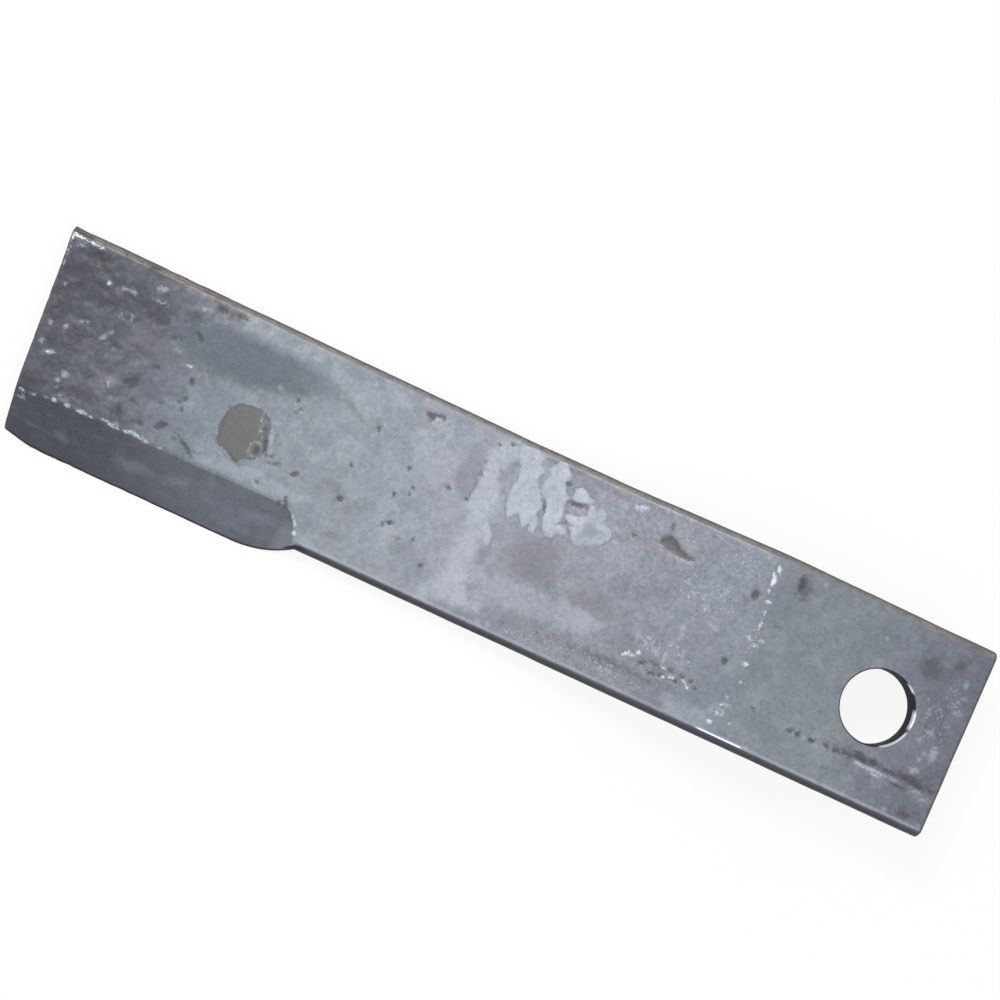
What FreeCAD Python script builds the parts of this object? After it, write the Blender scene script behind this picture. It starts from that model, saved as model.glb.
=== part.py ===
import FreeCAD, Part
import math
import os
from FreeCAD import Vector

# Rotary cutter blade, in millimetres.
# One length of hot rolled flat bar: a pivot end with a punched hole, an offset that drops
# to the cutting level, and a bevel forged along the leading edge near the tip.
# Origin at the centre of the pivot hole, halfway through the bar.
# +X runs from the hole to the tip, +Y to the cutting edge, +Z up along the pivot bolt.

# Bar stock
bar_width = 101.6
bar_thickness = 12.7
edge_crown = 3.5  # bulge of the rolled long edges past their corners
corner_radius = 1.0  # softened corner between a rolled edge and a flat face

# Pivot end
hole_to_square_end = 46.0
hole_diameter = 38.1
hole_rim_radius = 0.8

# Both sheared ends
end_edge_round = 0.5

# Offset between the pivot level and the cutting level
offset_drop = 31.75
offset_slope = 16.0  # degrees
hole_to_tight_bend = 70.0  # to the corner that the tight bend rounds off
tight_bend_radius = 28.0  # inside of the bend, on the underside
long_bend_radius = 384.0  # inside of the bend, on the top face

# Cutting end
hole_to_tip = 459.0  # along the middle of the bar
tip_skew = 5.7  # degrees that the sheared tip leans back towards the cutting edge

# Forged bevel and the metal that the forging spreads past the side of the bar
bevel_length = 163.5  # from the tip to the foot of the rise that ends the bevel
bevel_width = 28.6  # from the line on the top face to the cutting edge
bevel_skew = 0.9  # degrees that the line on the top face closes in towards the tip
bevel_end_radius = 15.0  # round of the die that ends the bevel
cutting_edge_thickness = 1.5
edge_flare = 9.3  # how far the cutting edge stands outside the bar
flare_run_out = 32.0  # length over which the flare grows out of the bar
tip_round_length = 22.0  # the cutting edge curves in over this length before the tip
tip_round_depth = 3.4
flare_root_depth = 0.5  # the flare starts this far inside the side of the bar
run_out_stations = 8  # sections along the growing flare
tip_stations = 4  # sections along the curve at the tip

# Sizes worked out from the ones above
half_width = bar_width / 2
half_thickness = bar_thickness / 2
slope = math.radians(offset_slope)
edge_radius = (half_thickness ** 2 + edge_crown ** 2) / (2 * edge_crown)
tight_mid_radius = tight_bend_radius + half_thickness
long_mid_radius = long_bend_radius + half_thickness
hole_to_long_bend = hole_to_tight_bend + offset_drop / math.tan(slope)
underside = -offset_drop - half_thickness
top_side = -offset_drop + half_thickness
cutting_edge_y = half_width + edge_flare
bevel_line_y = cutting_edge_y - bevel_width
bevel_angle = math.atan((bar_thickness - cutting_edge_thickness) / bevel_width)
bevel_end_x = hole_to_tip - bevel_length
flare_full_x = bevel_end_x + flare_run_out
bevel_toe = math.radians(bevel_skew)
tip_edge_x = hole_to_tip - cutting_edge_y * math.tan(math.radians(tip_skew))
tip_round_x = tip_edge_x - tip_round_length
overrun = bar_width  # reach of cutting tools and stock past the finished part


# Cross-section of the rolled bar in the YZ plane, centred on the X axis
def bar_section():
    arc_centre = half_width - edge_radius
    reach = edge_radius - corner_radius
    rise = half_thickness - corner_radius
    flat_end = arc_centre + math.sqrt(reach ** 2 - rise ** 2)
    turn = math.atan2(rise, flat_end - arc_centre)
    arc_y = arc_centre + edge_radius * math.cos(turn)
    arc_z = edge_radius * math.sin(turn)
    half_turn = (turn + math.pi / 2) / 2
    corner_y = flat_end + corner_radius * math.cos(half_turn)
    corner_z = rise + corner_radius * math.sin(half_turn)

    edges = []
    for side in (1, -1):
        flat_top = Vector(0, side * flat_end, side * half_thickness)
        corner_top = Vector(0, side * corner_y, side * corner_z)
        arc_top = Vector(0, side * arc_y, side * arc_z)
        middle = Vector(0, side * half_width, 0)
        arc_low = Vector(0, side * arc_y, -side * arc_z)
        corner_low = Vector(0, side * corner_y, -side * corner_z)
        flat_low = Vector(0, side * flat_end, -side * half_thickness)
        next_top = Vector(0, -side * flat_end, -side * half_thickness)
        edges.append(Part.Arc(flat_top, corner_top, arc_top).toShape())
        edges.append(Part.Arc(arc_top, middle, arc_low).toShape())
        edges.append(Part.Arc(arc_low, corner_low, flat_low).toShape())
        edges.append(Part.LineSegment(flat_low, next_top).toShape())
    return Part.Face(Part.Wire(edges))


# The section stood across the bar at a point of its middle line, heading down by an angle
def section_at(x, z, heading):
    face = bar_section()
    face.rotate(Vector(0, 0, 0), Vector(0, 1, 0), math.degrees(heading))
    face.translate(Vector(x, 0, z))
    return face


# The bar with its two bends, left too long at the tip
def offset_bar():
    tight_tangent = tight_mid_radius * math.tan(slope / 2)
    long_tangent = long_mid_radius * math.tan(slope / 2)
    across = Vector(0, 1, 0)
    down_slope = Vector(math.cos(slope), 0, -math.sin(slope))

    pivot_run_end = Vector(hole_to_tight_bend - tight_tangent, 0, 0)
    slope_start = Vector(hole_to_tight_bend, 0, 0) + down_slope * tight_tangent
    slope_end = Vector(hole_to_long_bend, 0, -offset_drop) - down_slope * long_tangent
    cutting_run_start = Vector(hole_to_long_bend + long_tangent, 0, -offset_drop)

    pivot_run = section_at(-hole_to_square_end, 0, 0)
    pivot_run = pivot_run.extrude(Vector(pivot_run_end.x + hole_to_square_end, 0, 0))

    tight_centre = pivot_run_end - Vector(0, 0, tight_mid_radius)
    tight_bend = section_at(pivot_run_end.x, 0, 0)
    tight_bend = tight_bend.revolve(tight_centre, across, offset_slope)

    slope_run = section_at(slope_start.x, slope_start.z, slope)
    slope_run = slope_run.extrude(slope_end - slope_start)

    long_centre = cutting_run_start + Vector(0, 0, long_mid_radius)
    long_bend = section_at(cutting_run_start.x, -offset_drop, 0)
    long_bend = long_bend.revolve(long_centre, across, offset_slope)

    cutting_run = section_at(cutting_run_start.x, -offset_drop, 0)
    cutting_run = cutting_run.extrude(Vector(hole_to_tip + overrun - cutting_run_start.x, 0, 0))

    return pivot_run.fuse([tight_bend, slope_run, long_bend, cutting_run]).removeSplitter()


# Height that the forging die leaves above the underside at a place on the bevel
def bevel_height(x, y):
    across = (y - bevel_line_y) * math.cos(bevel_toe) - (x - bevel_end_x) * math.sin(bevel_toe)
    height = bar_thickness - across * math.tan(bevel_angle)
    reach = min(bevel_end_x + bevel_end_radius - x, bevel_end_radius)
    if reach > 0:
        height += bevel_end_radius - math.sqrt(bevel_end_radius ** 2 - reach ** 2)
    return height


# The space that the forging die empties: a flat slope with a round end, drawn along X
# and pushed down across the bar at the angle of the bevel
def bevel_space():
    round_centre = bevel_end_x + bevel_end_radius
    quarter = bevel_end_radius * math.sqrt(0.5)
    wall_top = Vector(bevel_end_x, 0, overrun)
    wall_foot = Vector(bevel_end_x, 0, bevel_end_radius)
    round_middle = Vector(round_centre - quarter, 0, bevel_end_radius - quarter)
    flat_start = Vector(round_centre, 0, 0)
    flat_end = Vector(hole_to_tip + overrun, 0, 0)
    far_top = Vector(hole_to_tip + overrun, 0, overrun)
    outline = Part.Wire([
        Part.LineSegment(wall_top, wall_foot).toShape(),
        Part.Arc(wall_foot, round_middle, flat_start).toShape(),
        Part.LineSegment(flat_start, flat_end).toShape(),
        Part.LineSegment(flat_end, far_top).toShape(),
        Part.LineSegment(far_top, wall_top).toShape(),
    ])
    across = Vector(0, math.cos(bevel_angle), -math.sin(bevel_angle))
    reach = bevel_width + overrun
    space = Part.Face(outline).extrude(across * (reach + half_width))
    space.translate(across * -half_width)
    space.translate(Vector(0, bevel_line_y, top_side))
    space.rotate(Vector(bevel_end_x, bevel_line_y, 0), Vector(0, 0, 1), bevel_skew)
    return space


# How far out the cutting edge stands at a place along the bar
def edge_y(x):
    growth = edge_flare + flare_root_depth
    run_out_radius = (flare_run_out ** 2 + growth ** 2) / (2 * growth)
    tip_radius = (tip_round_length ** 2 + tip_round_depth ** 2) / (2 * tip_round_depth)
    y = cutting_edge_y
    if x < flare_full_x:
        y -= run_out_radius - math.sqrt(run_out_radius ** 2 - (flare_full_x - x) ** 2)
    if x > tip_round_x:
        y -= tip_radius - math.sqrt(tip_radius ** 2 - (x - tip_round_x) ** 2)
    return y


# Section of the spread metal. Its outer side is convex, like the edge of the bar, and about
# as tall as the die leaves it there. Its top stands a little proud, for the die to trim.
def flare_section(x):
    nose_y = edge_y(x)
    height = bevel_height(x, nose_y) + cutting_edge_thickness
    height = min(height, bar_thickness)
    crown = edge_crown * height / bar_thickness
    low_inner = Vector(x, bevel_line_y, underside)
    low_outer = Vector(x, nose_y - crown, underside)
    nose = Vector(x, nose_y, underside + height / 2)
    high_outer = Vector(x, nose_y - crown, underside + height)
    high_inner = Vector(x, bevel_line_y, top_side)
    return Part.Wire([
        Part.LineSegment(low_inner, low_outer).toShape(),
        Part.Arc(low_outer, nose, high_outer).toShape(),
        Part.LineSegment(high_outer, high_inner).toShape(),
        Part.LineSegment(high_inner, low_inner).toShape(),
    ])


def evenly(start, end, count):
    return [start + (end - start) * step / (count - 1) for step in range(count)]


# The spread metal along the whole bevel, left too long at the tip
def flare():
    run_out = [flare_section(x) for x in evenly(bevel_end_x, flare_full_x, run_out_stations)]
    straight = [flare_section(x) for x in (flare_full_x, tip_round_x)]
    tip = [flare_section(x) for x in evenly(tip_round_x, hole_to_tip, tip_stations)]
    pieces = [
        Part.makeLoft(run_out, True, False),
        Part.makeLoft(straight, True, True),
        Part.makeLoft(tip, True, False),
    ]
    return pieces[0].fuse(pieces[1:])


# Everything past the sheared tip
def beyond_tip():
    block = Part.makeBox(overrun * 2, bar_width * 3, bar_thickness * 4)
    block.translate(Vector(hole_to_tip, -bar_width * 1.5, -offset_drop - bar_thickness * 2))
    block.rotate(Vector(hole_to_tip, 0, 0), Vector(0, 0, 1), tip_skew)
    return block


# The pivot hole, punched through with its rims rounded over
def pivot_hole(blade):
    radius = hole_diameter / 2
    punch = Part.makeCylinder(radius, bar_thickness * 2, Vector(0, 0, -bar_thickness))
    punched = blade.cut(punch)
    rims = []
    for edge in punched.Edges:
        if not isinstance(edge.Curve, Part.Circle):
            continue
        beside_axis = math.hypot(edge.Curve.Center.x, edge.Curve.Center.y)
        if abs(edge.Curve.Radius - radius) < 0.001 and beside_axis < 0.001:
            rims.append(edge)
    return punched.makeFillet(hole_rim_radius, rims)


# Both sheared ends, with the sharpness taken off their edges all round
def broken_ends(blade):
    ends = []
    for edge in blade.Edges:
        middle = edge.CenterOfMass
        tip_x = hole_to_tip - middle.y * math.tan(math.radians(tip_skew))
        at_square_end = abs(middle.x + hole_to_square_end) < 0.001
        at_tip = abs(middle.x - tip_x) < 0.001
        if at_square_end or at_tip:
            ends.append(edge)
    return blade.makeFillet(min(end_edge_round, cutting_edge_thickness / 3), ends)


def cutter_blade():
    forging = offset_bar().fuse(flare()).cut(bevel_space()).cut(beyond_tip())
    return broken_ends(pivot_hole(forging).removeSplitter())


os.makedirs("parts", exist_ok=True)
blade = cutter_blade()
blade.exportStep("parts/cutter_blade.step")
box = blade.BoundBox
print("solids", len(blade.Solids), "valid", blade.isValid(), "volume", round(blade.Volume))
print("X", round(box.XMin, 1), round(box.XMax, 1), "Y", round(box.YMin, 1), round(box.YMax, 1))
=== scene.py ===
import math
import bpy
import numpy
from mathutils import Matrix, Vector, noise


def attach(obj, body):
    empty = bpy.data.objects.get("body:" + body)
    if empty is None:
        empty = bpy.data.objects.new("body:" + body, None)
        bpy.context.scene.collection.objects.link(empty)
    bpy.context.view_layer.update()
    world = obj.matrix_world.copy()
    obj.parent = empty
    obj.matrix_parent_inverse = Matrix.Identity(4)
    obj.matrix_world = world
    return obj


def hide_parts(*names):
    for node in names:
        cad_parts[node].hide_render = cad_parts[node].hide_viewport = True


# Rotary cutter blade: one length of hot rolled bar, offset and forged, dressed as it came off the
# hammer. The modelled blade stands for the CAD node and keeps its form. Everything is in metres.

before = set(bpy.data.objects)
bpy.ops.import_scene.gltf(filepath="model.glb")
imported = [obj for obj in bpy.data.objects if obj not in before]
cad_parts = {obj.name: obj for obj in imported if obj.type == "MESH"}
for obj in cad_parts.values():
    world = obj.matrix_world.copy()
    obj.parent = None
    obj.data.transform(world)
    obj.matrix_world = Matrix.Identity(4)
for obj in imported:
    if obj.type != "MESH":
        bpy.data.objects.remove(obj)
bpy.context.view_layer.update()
print("frame loaded")

mm = 0.001

bar = {
    "width": 101.6 * mm,
    "thickness": 12.7 * mm,
    "edgeCrown": 3.5 * mm,
    "cornerRadius": 1.0 * mm,
    "columns": 84,
    "edgeSteps": 5,
    "lastEdgeAngle": math.radians(5.5),
    "ring": 1.17 * mm,
    "endEdge": 0.5 * mm,
}

offset = {
    "squareEnd": -46.0 * mm,
    "tightBend": 70.0 * mm,
    "drop": 31.75 * mm,
    "slope": math.radians(16.0),
    "tightRadius": 28.0 * mm,
    "longRadius": 384.0 * mm,
    "tip": 459.0 * mm,
    "tipSkew": math.radians(5.7),
    "skewFrom": 395.0 * mm,
}

forging = {
    "length": 163.5 * mm,
    "width": 28.6 * mm,
    "skew": math.radians(0.9),
    "endRadius": 15.0 * mm,
    "edgeThickness": 1.5 * mm,
    "flare": 9.3 * mm,
    "runOut": 32.0 * mm,
    "tipRoundLength": 22.0 * mm,
    "tipRoundDepth": 3.4 * mm,
}

hole = {
    "radius": 19.05 * mm,
    "rim": 0.8 * mm,
    "sides": 144,
    "rimSteps": 4,
}

halfThickness = bar["thickness"] / 2
halfWidth = bar["width"] / 2
underside = -offset["drop"] - halfThickness


def startClean():
    if bpy.context.object and bpy.context.object.mode != "OBJECT":
        bpy.ops.object.mode_set(mode="OBJECT")
    bpy.ops.object.select_all(action="DESELECT")


def makeActive(piece):
    startClean()
    piece.select_set(True)
    bpy.context.view_layer.objects.active = piece


def applyModifier(piece, modifier):
    makeActive(piece)
    bpy.ops.object.modifier_apply(modifier=modifier.name)


def selectVertices(piece, test):
    bpy.ops.object.mode_set(mode="EDIT")
    bpy.ops.mesh.select_mode(type="VERT")
    bpy.ops.mesh.select_all(action="DESELECT")
    bpy.ops.object.mode_set(mode="OBJECT")
    for vertex in piece.data.vertices:
        vertex.select = test(vertex.co)
    bpy.ops.object.mode_set(mode="EDIT")


# Half of the rolled section from the flat's end round to the middle of the edge, as (y, z)
def edgeProfile():
    crown = bar["edgeCrown"]
    corner = bar["cornerRadius"]
    radius = (halfThickness ** 2 + crown ** 2) / (2 * crown)
    centre = halfWidth - radius
    rise = halfThickness - corner
    flatEnd = centre + math.sqrt((radius - corner) ** 2 - rise ** 2)
    first = math.atan2(rise, flatEnd - centre)
    middle = (first + math.pi / 2) / 2
    points = [(flatEnd, halfThickness)]
    points.append((flatEnd + corner * math.cos(middle), rise + corner * math.sin(middle)))
    for step in range(bar["edgeSteps"] + 1):
        angle = first + (bar["lastEdgeAngle"] - first) * step / bar["edgeSteps"]
        points.append((centre + radius * math.cos(angle), radius * math.sin(angle)))
    return points


# The section as a strip of faces standing across the bar at its square end
def drawSection():
    profile = edgeProfile()
    flatEnd = profile[0][0]
    startClean()
    bpy.ops.mesh.primitive_grid_add(x_subdivisions=bar["columns"], y_subdivisions=1, size=1)
    blade = bpy.context.object
    blade.name = "forged_blade"
    blade.scale = (2 * flatEnd, bar["thickness"], 1)
    blade.rotation_euler = (math.radians(90), 0, math.radians(90))
    blade.location = (offset["squareEnd"], 0, 0)
    bpy.ops.object.transform_apply(location=True, rotation=True, scale=True)
    for side in (1, -1):
        selectVertices(blade, lambda co: side * co.y > flatEnd - 0.1 * mm)
        for (y, z), (nextY, nextZ) in zip(profile, profile[1:]):
            bpy.ops.mesh.extrude_region_move(
                TRANSFORM_OT_translate={"value": (0, side * (nextY - y), 0)})
            bpy.ops.transform.resize(value=(1, 1, nextZ / z),
                                     center_override=(offset["squareEnd"], side * nextY, 0))
    return blade


# Draws the selected section in or out by an inset, about the middle of the bar
def insetSection(x, z, before, after):
    across = (halfWidth - after) / (halfWidth - before)
    through = (halfThickness - after) / (halfThickness - before)
    bpy.ops.transform.resize(value=(1, across, through), center_override=(x, 0, z))


# Draws the selected section on in a straight line
def runOn(reach):
    steps = max(1, round(reach.length / bar["ring"]))
    bpy.ops.mesh.extrude_repeat(steps=steps, offset=reach / steps)


def bendOn(angle, centre, radius):
    steps = max(1, round(abs(angle) * radius / bar["ring"]))
    bpy.ops.mesh.spin(steps=steps, angle=angle, center=centre, axis=(0, 1, 0))


def drawBar(blade):
    slope = offset["slope"]
    tightMid = offset["tightRadius"] + halfThickness
    longMid = offset["longRadius"] + halfThickness
    tightTangent = tightMid * math.tan(slope / 2)
    longTangent = longMid * math.tan(slope / 2)
    longBend = offset["tightBend"] + offset["drop"] / math.tan(slope)
    downSlope = Vector((math.cos(slope), 0, -math.sin(slope)))

    start = Vector((offset["squareEnd"], 0, 0))
    pivotRunEnd = Vector((offset["tightBend"] - tightTangent, 0, 0))
    slopeStart = Vector((offset["tightBend"], 0, 0)) + downSlope * tightTangent
    slopeEnd = Vector((longBend, 0, -offset["drop"])) - downSlope * longTangent
    cuttingRunStart = Vector((longBend + longTangent, 0, -offset["drop"]))
    tip = Vector((offset["tip"], 0, -offset["drop"]))
    edge = bar["endEdge"]
    near = edge * (1 - math.sqrt(0.5))
    toEdge = Vector((edge, 0, 0))

    bpy.ops.mesh.select_mode(type="FACE")
    bpy.ops.mesh.select_all(action="SELECT")
    insetSection(start.x, 0, 0, edge)
    runOn(Vector((near, 0, 0)))
    insetSection(start.x, 0, edge, near)
    runOn(Vector((edge - near, 0, 0)))
    insetSection(start.x, 0, near, 0)
    runOn(pivotRunEnd - start - toEdge)
    bendOn(-slope, pivotRunEnd - Vector((0, 0, tightMid)), tightMid)
    runOn(slopeEnd - slopeStart)
    bendOn(slope, cuttingRunStart + Vector((0, 0, longMid)), longMid)
    runOn(tip - cuttingRunStart - toEdge)
    runOn(Vector((edge - near, 0, 0)))
    insetSection(tip.x, tip.z, 0, near)
    runOn(Vector((near, 0, 0)))
    insetSection(tip.x, tip.z, near, edge)
    bpy.ops.mesh.select_all(action="SELECT")
    bpy.ops.mesh.remove_doubles(threshold=0.02 * mm)
    bpy.ops.mesh.normals_make_consistent(inside=False)
    bpy.ops.object.mode_set(mode="OBJECT")
    print("bar drawn,", len(blade.data.polygons), "faces")


# Pushes the piece along one axis by a distance worked out for each vertex
def push(piece, axis, distances):
    most = max(abs(d) for d in distances)
    for sign in (1, -1):
        if not any(sign * distance > 0 for distance in distances):
            continue
        group = piece.vertex_groups.new(name="push")
        for index, distance in enumerate(distances):
            if sign * distance > 0:
                group.add([index], sign * distance / most, "REPLACE")
        modifier = piece.modifiers.new("push", "DISPLACE")
        modifier.direction = axis
        modifier.vertex_group = group.name
        modifier.strength = sign * most
        modifier.mid_level = 0
        applyModifier(piece, modifier)
        piece.vertex_groups.clear()


# Height that the forging die leaves above the underside
def bevelHeight(x, y):
    skew = forging["skew"]
    foot = offset["tip"] - forging["length"]
    lineY = halfWidth + forging["flare"] - forging["width"]
    across = (y - lineY) * math.cos(skew) - (x - foot) * math.sin(skew)
    fall = (bar["thickness"] - forging["edgeThickness"]) / forging["width"]
    height = bar["thickness"] - across * fall
    reach = min(foot + forging["endRadius"] - x, forging["endRadius"])
    if reach > 0:
        height += forging["endRadius"] - math.sqrt(forging["endRadius"] ** 2 - reach ** 2)
    return height


# How far out the forged edge stands
def edgeY(x):
    growth = forging["flare"] + 0.5 * mm
    run = forging["runOut"]
    runRadius = (run ** 2 + growth ** 2) / (2 * growth)
    tipRun = forging["tipRoundLength"]
    tipDepth = forging["tipRoundDepth"]
    tipRadius = (tipRun ** 2 + tipDepth ** 2) / (2 * tipDepth)
    y = halfWidth + forging["flare"]
    fullX = offset["tip"] - forging["length"] + run
    roundX = offset["tip"] - y * math.tan(offset["tipSkew"]) - tipRun
    if x < fullX:
        y -= runRadius - math.sqrt(runRadius ** 2 - (fullX - x) ** 2)
    if x > roundX:
        y -= tipRadius - math.sqrt(tipRadius ** 2 - (x - roundX) ** 2)
    return y


# How far the rings lean towards the pivot at a place, as the shear does at the tip
def lean(x, y):
    share = min(max((x - offset["skewFrom"]) / (offset["tip"] - offset["skewFrom"]), 0), 1)
    return y * math.tan(offset["tipSkew"]) * share * share * (3 - 2 * share)


# Spreads the leading side of the bar outwards and brings a column of faces onto the bevel line
def spreadEdge(blade):
    foot = offset["tip"] - forging["length"]
    lineY = halfWidth + forging["flare"] - forging["width"]
    flatEnd = edgeProfile()[0][0]
    column = 2 * flatEnd / bar["columns"]
    shared = round((lineY + flatEnd) / column) * column - flatEnd
    blend = 24 * mm
    distances = []
    for vertex in blade.data.vertices:
        x, y, z = vertex.co
        move = 0
        if x > foot - blend and y > 0:
            line = lineY + max(x - foot, 0) * math.tan(forging["skew"])
            outer = halfWidth
            if x > foot:
                outer = max(edgeY(x - lean(x, halfWidth + forging["flare"])), halfWidth)
            if y < shared:
                move = y / shared * (line - shared)
            else:
                along = (y - shared) / (halfWidth - shared)
                move = line - shared + along * (outer - line - halfWidth + shared)
            if x < foot:
                share = (x - foot + blend) / blend
                move *= share * share * (3 - 2 * share)
        distances.append(move)
    push(blade, "Y", distances)
    push(blade, "X", [-lean(vertex.co.x, vertex.co.y) for vertex in blade.data.vertices])


# Squeezes the spread side about its underside to the height that the die leaves
def pressBevel(blade):
    foot = offset["tip"] - forging["length"]
    distances = []
    for vertex in blade.data.vertices:
        x, y, z = vertex.co
        move = 0
        if x > foot and y > 0:
            share = min(bevelHeight(x, y) / bar["thickness"], 1)
            share = max(share, forging["edgeThickness"] / bar["thickness"])
            move = (share - 1) * (z - underside)
        distances.append(move)
    push(blade, "Z", distances)
    print("bevel forged")


# Rounded outline of the punched hole's cutter: straight in the bore and flared at both rims
def punchHole(blade):
    radius = hole["radius"]
    rim = hole["rim"]
    startClean()
    bpy.ops.mesh.primitive_circle_add(vertices=hole["sides"], radius=radius,
                                      location=(0, 0, -halfThickness + rim))
    punch = bpy.context.object
    punch.name = "punch"
    bpy.ops.object.transform_apply(location=True)
    selectVertices(punch, lambda co: True)
    bpy.ops.mesh.extrude_region_move(
        TRANSFORM_OT_translate={"value": (0, 0, bar["thickness"] - 2 * rim)})
    for side in (1, -1):
        selectVertices(punch, lambda co: side * co.z > 0)
        reach = radius
        height = halfThickness - rim
        for step in range(1, hole["rimSteps"] + 1):
            angle = math.pi / 2 * step / hole["rimSteps"]
            nextReach = radius + rim * (1 - math.cos(angle))
            nextHeight = halfThickness - rim + rim * math.sin(angle)
            if step == hole["rimSteps"]:
                nextHeight += 0.02 * mm
            bpy.ops.mesh.extrude_region_move(
                TRANSFORM_OT_translate={"value": (0, 0, side * (nextHeight - height))})
            bpy.ops.transform.resize(value=(nextReach / reach, nextReach / reach, 1),
                                     center_override=(0, 0, side * nextHeight))
            reach = nextReach
            height = nextHeight
        bpy.ops.mesh.edge_face_add()
    bpy.ops.mesh.select_all(action="SELECT")
    bpy.ops.mesh.normals_make_consistent(inside=False)
    bpy.ops.object.mode_set(mode="OBJECT")
    cut = blade.modifiers.new("pivot hole", "BOOLEAN")
    cut.operation = "DIFFERENCE"
    cut.solver = "EXACT"
    cut.object = punch
    applyModifier(blade, cut)
    bpy.data.objects.remove(punch, do_unlink=True)
    selectVertices(blade, lambda co: math.hypot(co.x, co.y) < radius + 3 * mm)
    bpy.ops.mesh.remove_doubles(threshold=0.05 * mm)
    bpy.ops.mesh.select_all(action="DESELECT")
    bpy.ops.object.mode_set(mode="OBJECT")
    print("hole punched,", len(blade.data.polygons), "faces")


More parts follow.
